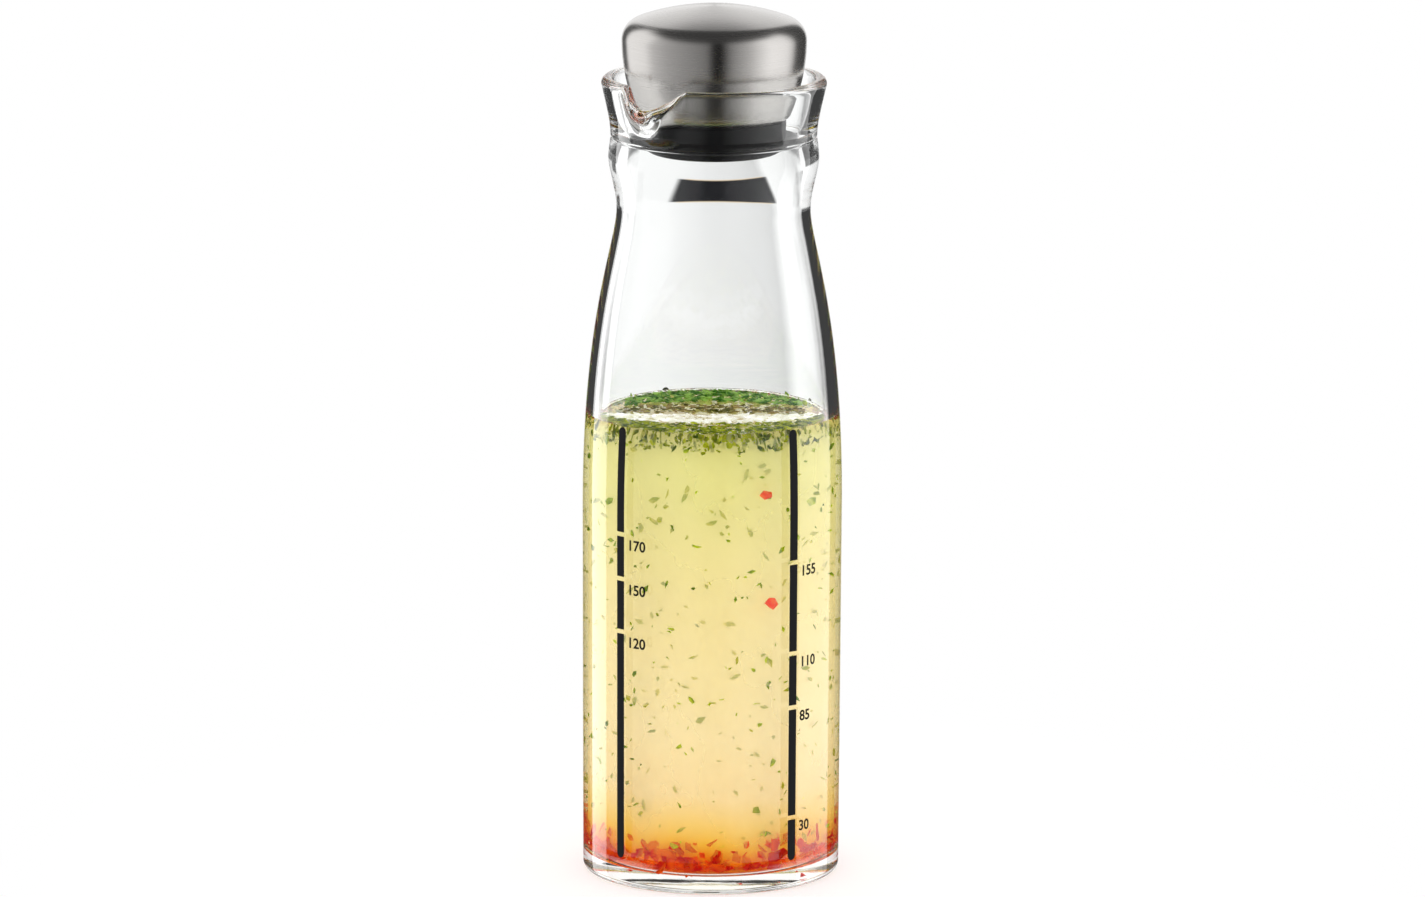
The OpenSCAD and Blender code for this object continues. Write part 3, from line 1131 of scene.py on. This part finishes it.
        self.flakes("herbs_in_front", wet, 900, self.patch_pick(24.4, -24.4, -13, 0.0, 0.4), (0.7, 1.8),
                    self.seed + 11, 0.4, flat=True)
        self.flakes("pepper_flakes", pepper, 620, self.ring_pick(4.8, 11.0, 14.0, 0.7, 1.9),
                    (1.6, 4.4), self.seed + 3, 0.5)
        self.flakes("pepper_pieces", orange, 2, self.front_pick(((-63.0, 90.4), (-60.3, 65.6))), (3.4, 3.6),
                    self.seed + 7, 0.7)
        self.build_bubbles()


@dataclass
class PrintedScale:
    """The printed bars and plain numbers on the glass.

    Sizes are in millimetres and directions in degrees from the front, to the right.
    """

    bottle: GlassBottle
    lift: float = 0.03
    thickness: float = 0.04
    bar_w: float = 2.15
    low: float = 6.9
    high: float = 104.9
    gap: float = 1.0
    first: float = -44.2
    spacing: float = 82.7
    figure_h: float = 2.3
    embolden: float = 0.07
    marks: Tuple[Tuple[Tuple[float, str], ...], ...] = (
        ((80.8, "170"), (70.7, "150"), (58.7, "120")),
        ((74.9, "155"), (54.2, "110"), (41.9, "85"), (16.7, "30")),
        ((78.5, "165"), (63.0, "130"), (45.0, "90")),
        ((86.0, "180"), (67.5, "140"), (31.0, "60")),
    )
    ink: Moulded = Moulded("scale_ink", colour=(0.008, 0.008, 0.009), roughness=0.45, variation=0.1, gloss=0.1)

    def wrap(self, bm: bmesh.types.BMesh, direction: float) -> None:
        """Bend a flat drawing, in the XZ plane, round the glass.

        Args:
            bm: The drawing, with its depth along Y.
            direction: Where its own zero comes to lie.
        """
        for vert in bm.verts:
            angle = vert.co.x / (self.bottle.body_r * MM) + radians(direction - 90)
            radius = (self.bottle.skin(vert.co.z / MM) + self.lift) * MM + vert.co.y
            vert.co = Vector((radius * cos(angle), radius * sin(angle), vert.co.z))

    def add_bar(self, bm: bmesh.types.BMesh, low: float, high: float, round_low: bool, round_high: bool) -> None:
        """Add one stretch of a bar, flat in the XZ plane.

        Args:
            bm: Mesh that takes the bar.
            low: Lower end.
            high: Upper end.
            round_low: Whether the lower end is round.
            round_high: Whether the upper end is round.
        """
        rows = max(2, ceil((high - low) / 4))
        made = bmesh.ops.create_grid(bm, x_segments=8, y_segments=rows, size=0.5)
        half = self.bar_w / 2
        for vert in made["verts"]:
            across, share = vert.co.x * self.bar_w, vert.co.y + 0.5
            dip = half - sqrt(max(0.0, half ** 2 - across ** 2))
            bottom = low + (dip if round_low else 0.0)
            top = high - (dip if round_high else 0.0)
            vert.co = Vector((across * MM, 0.0, (bottom + (top - bottom) * share) * MM))
        faces = list({face for vert in made["verts"] for face in vert.link_faces})
        lifted = bmesh.ops.extrude_face_region(bm, geom=faces, use_keep_orig=True)
        moved = [item for item in lifted["geom"] if isinstance(item, bmesh.types.BMVert)]
        bmesh.ops.translate(bm, vec=Vector((0, self.thickness * MM, 0)), verts=moved)

    def build_bar(self, number: int) -> bpy.types.Object:
        """Build one bar with its gaps."""
        bm = bmesh.new()
        ends = sorted(height for height, _ in self.marks[number])
        lows = [self.low] + [z + self.gap / 2 for z in ends]
        highs = [z - self.gap / 2 for z in ends] + [self.high]
        for low, high in zip(lows, highs):
            self.add_bar(bm, low, high, low == self.low, high == self.high)
        self.wrap(bm, self.first + number * self.spacing)
        bmesh.ops.recalc_face_normals(bm, faces=bm.faces)
        obj = make_piece(f"scale_bar_{number + 1}", bm, self.ink, Body.BOTTLE, smooth=False)
        return obj

    def build_figures(self, number: int) -> bpy.types.Object:
        """Build the plain numbers beside one bar."""
        bm = bmesh.new()
        for height, figures in self.marks[number]:
            text = bpy.data.curves.new(f"figures_{figures}", "FONT")
            text.body = figures
            text.size = self.figure_h / 0.7 * MM
            text.extrude = self.thickness / 2 * MM
            text.offset = self.embolden * MM
            holder = bpy.data.objects.new(text.name, text)
            bpy.context.scene.collection.objects.link(holder)
            bpy.context.view_layer.update()
            flat = bpy.data.meshes.new_from_object(holder.evaluated_get(bpy.context.evaluated_depsgraph_get()))
            stand = Matrix.Rotation(pi / 2, 4, "X")
            shift = Matrix.Translation(Vector((
                (self.bar_w / 2 + 1.0) * MM, self.thickness / 2 * MM, (height - self.gap - self.figure_h) * MM
            )))
            flat.transform(shift @ Matrix.Scale(-1, 4, (0, 1, 0)) @ stand)
            bm.from_mesh(flat)
            bpy.data.objects.remove(holder)
            bpy.data.curves.remove(text)
            bpy.data.meshes.remove(flat)
        bmesh.ops.remove_doubles(bm, verts=bm.verts, dist=WELD)
        reach = max(vert.co.x for vert in bm.verts)
        cut = self.bar_w / 2 * MM
        while cut < reach:
            geom = list(bm.verts) + list(bm.edges) + list(bm.faces)
            bmesh.ops.bisect_plane(bm, geom=geom, plane_co=(cut, 0, 0), plane_no=(1, 0, 0))
            cut += 0.6 * MM
        self.wrap(bm, self.first + number * self.spacing)
        bmesh.ops.triangulate(bm, faces=bm.faces)
        bmesh.ops.recalc_face_normals(bm, faces=bm.faces)
        obj = make_piece(f"scale_figures_{number + 1}", bm, self.ink, Body.BOTTLE, smooth=False)
        return obj

    def build(self) -> None:
        """Build every bar and its numbers."""
        for number in range(len(self.marks)):
            self.build_bar(number)
            self.build_figures(number)


@dataclass(frozen=True)
class FloorFinish(Finish):
    """White table that keeps the shadow near the object and fades to white."""

    colour: Colour = (0.42, 0.42, 0.42)
    lift: float = 0.58
    fade_from: float = 0.07
    fade_to: float = 0.16

    def fill(self, tree: Tree, output: bpy.types.Node) -> None:
        """Fill the tree with a matt table that views see a little lighter."""
        matt = tree.add("BsdfDiffuse")
        matt.inputs["Color"].default_value = (*self.colour, 1.0)
        shown = seen(tree)
        lift = tree.add("Emission")
        tree.link(tree.maths("MULTIPLY", shown, self.lift), lift.inputs["Strength"])
        near = tree.add("AddShader")
        tree.link(matt.outputs[0], near.inputs[0])
        tree.link(lift.outputs[0], near.inputs[1])
        white = tree.add("Emission")
        place = tree.add("VectorMath", operation="LENGTH")
        tree.link(tree.add("TexCoord").outputs["Object"], place.inputs[0])
        far = tree.between(place.outputs["Value"], self.fade_from, self.fade_to)
        mixed = tree.add("MixShader")
        tree.link(tree.maths("MULTIPLY", far, shown), mixed.inputs[0])
        tree.link(near.outputs[0], mixed.inputs[1])
        tree.link(white.outputs[0], mixed.inputs[2])
        clear = tree.add("BsdfTransparent")
        hidden = tree.add("MixShader")
        tree.link(bounced(tree), hidden.inputs[0])
        tree.link(mixed.outputs[0], hidden.inputs[1])
        tree.link(clear.outputs[0], hidden.inputs[2])
        tree.link(hidden.outputs[0], output.inputs["Surface"])


def bounced(tree: Tree) -> bpy.types.NodeSocket:
    """Give 1 for what comes by way of a mirror reflection, also through glass."""
    return tree.maths("MINIMUM", tree.add("LightPath").outputs["Glossy Depth"], 1.0)


def seen(tree: Tree) -> bpy.types.NodeSocket:
    """Give 1 for what the camera sees directly, in a reflection or through glass."""
    path = tree.add("LightPath")
    either = tree.maths("MAXIMUM", path.outputs["Is Camera Ray"], path.outputs["Is Glossy Ray"])
    return tree.maths("MAXIMUM", either, path.outputs["Is Transmission Ray"])


@dataclass
class Studio:
    """Camera, pale floor and the soft studio round the bottle."""

    lens: float = 225.8
    sensor: float = 36.0
    distance: float = 2.0
    elevation: float = 11.5
    aim: float = 0.096
    roll: float = 0.25
    floor_r: float = 0.3
    plain_level: float = 1.15
    strip_level: float = 3.3

    def build_camera(self) -> None:
        """Place the camera at the photograph's angle."""
        data = bpy.data.cameras.new("camera")
        data.lens = self.lens
        data.sensor_width = self.sensor
        data.clip_start = 0.05
        data.clip_end = 50.0
        camera = bpy.data.objects.new("camera", data)
        rise = radians(self.elevation)
        back = Vector((0, -cos(rise), sin(rise)))
        camera.location = Vector((0, 0, self.aim)) + back * self.distance
        look = (-back).to_track_quat("-Z", "Y").to_matrix().to_4x4()
        turn = Matrix.Rotation(radians(self.roll), 4, "Z")
        camera.rotation_euler = (look @ turn).to_euler()
        bpy.context.scene.collection.objects.link(camera)
        bpy.context.scene.camera = camera

    def build_floor(self) -> None:
        """Lay the white table under the bottle."""
        bm = bmesh.new()
        bmesh.ops.create_circle(bm, cap_ends=True, segments=96, radius=self.floor_r)
        mesh = bpy.data.meshes.new("floor")
        bm.to_mesh(mesh)
        bm.free()
        mesh.materials.append(FloorFinish("white_table").material())
        floor = bpy.data.objects.new("floor", mesh)
        bpy.context.scene.collection.objects.link(floor)

    def build_world(self) -> None:
        """Surround the bottle: white for the camera, soft boxes and dark gaps for steel and glass."""
        world = bpy.data.worlds.new("studio")
        bpy.context.scene.world = world
        world.use_nodes = True
        world.cycles.sampling_method = "NONE"
        tree = Tree(world.node_tree)
        output = tree.add("OutputWorld")
        background = tree.add("Background")
        tree.link(background.outputs[0], output.inputs["Surface"])
        place = tree.add("SeparateXYZ")
        tree.link(tree.add("TexCoord").outputs["Generated"], place.inputs[0])
        east, north, up = place.outputs
        turn = tree.maths("MULTIPLY", tree.maths("ARCTAN2", east, tree.maths("MULTIPLY", north, -1.0)), 180 / pi)
        rise = tree.maths("MULTIPLY", tree.maths("ARCSINE", up), 180 / pi)
        path = tree.add("LightPath")
        plain = (self.plain_level,) * 3
        mirror = tree.maths("MULTIPLY", path.outputs["Is Singular Ray"], path.outputs["Is Reflection Ray"])
        inner = tree.maths("MINIMUM", path.outputs["Transmission Depth"], 1.0)
        shiny = tree.mix(inner, self.reflected(tree, turn, rise), self.caught(tree, turn, rise))
        shiny = tree.mix(mirror, shiny, self.mirrored(tree, turn))
        shown = tree.mix(bounced(tree), self.through(tree, turn, rise), shiny)
        matt = tree.maths("MINIMUM", path.outputs["Diffuse Depth"], 1.0)
        shown = tree.mix(matt, shown, plain)
        shown = tree.mix(path.outputs["Is Camera Ray"], shown, (1.0, 1.0, 1.0))
        tree.link(shown, background.inputs["Color"])

    @staticmethod
    def around(tree: Tree, turn: bpy.types.NodeSocket, stops: Sequence[Tuple[float, float]]) -> bpy.types.NodeSocket:
        """Give a brightness that changes round the bottle.

        Args:
            tree: The world's tree.
            turn: Direction from the camera's side, -180 to 180 degrees, to the right.
            stops: Directions and their brightness.

        Returns:
            The brightness.
        """
        share = tree.maths("MULTIPLY_ADD", turn, 1 / 360, 0.5)
        return tree.ramp(share, [((angle + 180) / 360, (value,) * 3) for angle, value in stops])

    @classmethod
    def reflected(cls, tree: Tree, turn: bpy.types.NodeSocket, rise: bpy.types.NodeSocket) -> bpy.types.NodeSocket:
        """Give what brushed steel reflects: a dark room, two tall soft boxes and a bright back.

        Args:
            tree: The world's tree.
            turn: Direction from the camera's side, -180 to 180 degrees, to the right.
            rise: Height above the horizon in degrees.

        Returns:
            The brightness.
        """
        level = cls.around(tree, turn, (
            (-180, 1.05), (-164, 1.05), (-160, 0.08), (-143, 0.1), (-137, 1.25), (-97, 1.2), (-84, 0.75),
            (-60, 0.52), (-22, 0.33), (-9, 0.27), (-3, 0.06), (1, 0.0), (10, 0.0), (14, 0.1), (22, 0.32), (46, 0.66),
            (66, 1.15), (76, 1.35), (104, 1.25), (114, 0.9), (124, 0.1), (160, 0.06), (164, 1.0), (180, 1.05),
        ))
        level = tree.mix(tree.between(rise, 34.0, 52.0), level, (0.06, 0.06, 0.06))
        return tree.mix(tree.between(rise, -60.0, -78.0), level, (0.04, 0.04, 0.04))

    @classmethod
    def caught(cls, tree: Tree, turn: bpy.types.NodeSocket, rise: bpy.types.NodeSocket) -> bpy.types.NodeSocket:
        """Give what comes out of the glass after a bounce within it or off the steel behind it.

        Args:
            tree: The world's tree.
            turn: Direction from the camera's side, -180 to 180 degrees, to the right.
            rise: Height above the horizon in degrees.

        Returns:
            The brightness.
        """
        light = cls.around(tree, turn, (
            (-180, 1.0), (-137, 1.0), (-97, 1.2), (-84, 0.75), (-60, 0.5), (-20, 0.28), (-6, 0.04), (10, 0.02),
            (22, 0.3), (46, 0.66), (66, 1.15), (104, 1.2), (116, 1.0), (180, 1.0),
        ))
        dark = tree.maths("SUBTRACT", 1.0, tree.inside(turn, -149.0, 136.0, 3.0))
        low = tree.inside(rise, -31.0, -3.0, 3.0)
        level = tree.mix(tree.maths("MULTIPLY", dark, low), light, (0.05, 0.05, 0.05))
        level = tree.mix(tree.between(rise, -50.0, -62.0), level, (0.05, 0.05, 0.05))
        rear = tree.maths("SUBTRACT", 1.0, tree.inside(turn, -80.0, 80.0, 20.0))
        level = tree.mix(tree.maths("MULTIPLY", tree.between(rise, -3.0, 0.0), rear), level, (1.1, 1.1, 1.1))
        for turns, rises in (((-168.0, -154.0), (-5.0, 9.0)), ((114.0, 130.0), (0.0, 9.0))):
            patch = tree.maths("MULTIPLY", tree.inside(turn, *turns, 3.0), tree.inside(rise, *rises, 3.0))
            level = tree.mix(patch, level, (0.04, 0.04, 0.04))
        return level

    def mirrored(self, tree: Tree, turn: bpy.types.NodeSocket) -> bpy.types.NodeSocket:
        """Give what glass mirrors: the soft boxes as clear strips in a dark room, and the bright back.

        Args:
            tree: The world's tree.
            turn: Direction from the camera's side, -180 to 180 degrees, to the right.

        Returns:
            The brightness.
        """
        room = self.around(tree, turn, (
            (-180, 1.0), (-172, 0.9), (-166, 0.05), (-100, 0.05), (-70, 0.1), (-20, 0.04), (20, 0.04), (60, 0.1),
            (100, 0.05), (166, 0.05), (172, 0.9), (180, 1.0),
        ))
        left = tree.inside(turn, -134.5, -109.0, 2.5)
        right = tree.inside(turn, 84.0, 130.0, 2.5)
        room = tree.mix(right, room, (self.strip_level / 2,) * 3)
        return tree.mix(left, room, (self.strip_level,) * 3)

    def through(self, tree: Tree, turn: bpy.types.NodeSocket, rise: bpy.types.NodeSocket) -> bpy.types.NodeSocket:
        """Give what shows through glass: a white back, and the dark gaps that draw the glass's edges.

        Args:
            tree: The world's tree.
            turn: Direction from the camera's side, -180 to 180 degrees, to the right.
            rise: Height above the horizon in degrees.

        Returns:
            The brightness.
        """
        level = self.around(tree, turn, (
            (-180, 0.97), (-177, 1.06), (-160, 1.08), (-134, 1.2), (-97, 1.2), (-84, 0.8), (-60, 0.7), (-9, 0.6),
            (9, 0.6), (60, 0.7), (80, 0.8), (86, 1.2), (128, 1.2), (136, 1.0), (160, 0.62), (163, 0.7), (168, 0.95),
            (174.4, 1.08), (174.9, 0.72), (176, 0.76), (178, 0.88), (180, 0.97),
        ))
        gap = tree.maths("MAXIMUM", tree.inside(turn, -161.5, -136.0, 3.0), tree.inside(turn, 132.0, 161.5, 3.0))
        flat = tree.inside(rise, -26.0, -8.5, 3.0)
        level = tree.mix(tree.maths("MULTIPLY", gap, flat), level, (0.02, 0.02, 0.022))
        off = tree.maths("MINIMUM", *(tree.maths("ABSOLUTE", tree.maths("SUBTRACT", turn, middle))
                                      for middle in (178.75, -181.25)))
        for low, reach, shade in ((0.4, 3.4, (1.0, 0.8, 0.55)), (0.8, 4.0, (0.015, 0.015, 0.018))):
            wide = tree.maths("SUBTRACT", 1.0, tree.between(off, reach - 0.4, reach + 0.4))
            band = tree.inside(rise, low, 8.0, 0.8)
            level = tree.mix(tree.maths("MULTIPLY", band, wide), level, shade)
        return level

    def build(self) -> None:
        """Build the camera, the floor and the world."""
        self.build_camera()
        self.build_floor()
        self.build_world()


def main() -> None:
    """Build the studio and every piece, in order."""
    logging.basicConfig(level=logging.INFO, format="%(name)s: %(message)s")
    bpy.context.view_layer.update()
    scene = bpy.context.scene
    scene.view_settings.view_transform = "Standard"
    scene.cycles.max_bounces = 64
    scene.cycles.transmission_bounces = 64
    scene.cycles.glossy_bounces = 64
    scene.cycles.diffuse_bounces = 6
    scene.cycles.blur_glossy = 0.0
    Studio().build()
    bottle = GlassBottle()
    bottle.build()
    Stopper().build()
    Dressing(bottle).build()
    PrintedScale(bottle).build()


if __name__ == "__main__":
    main()
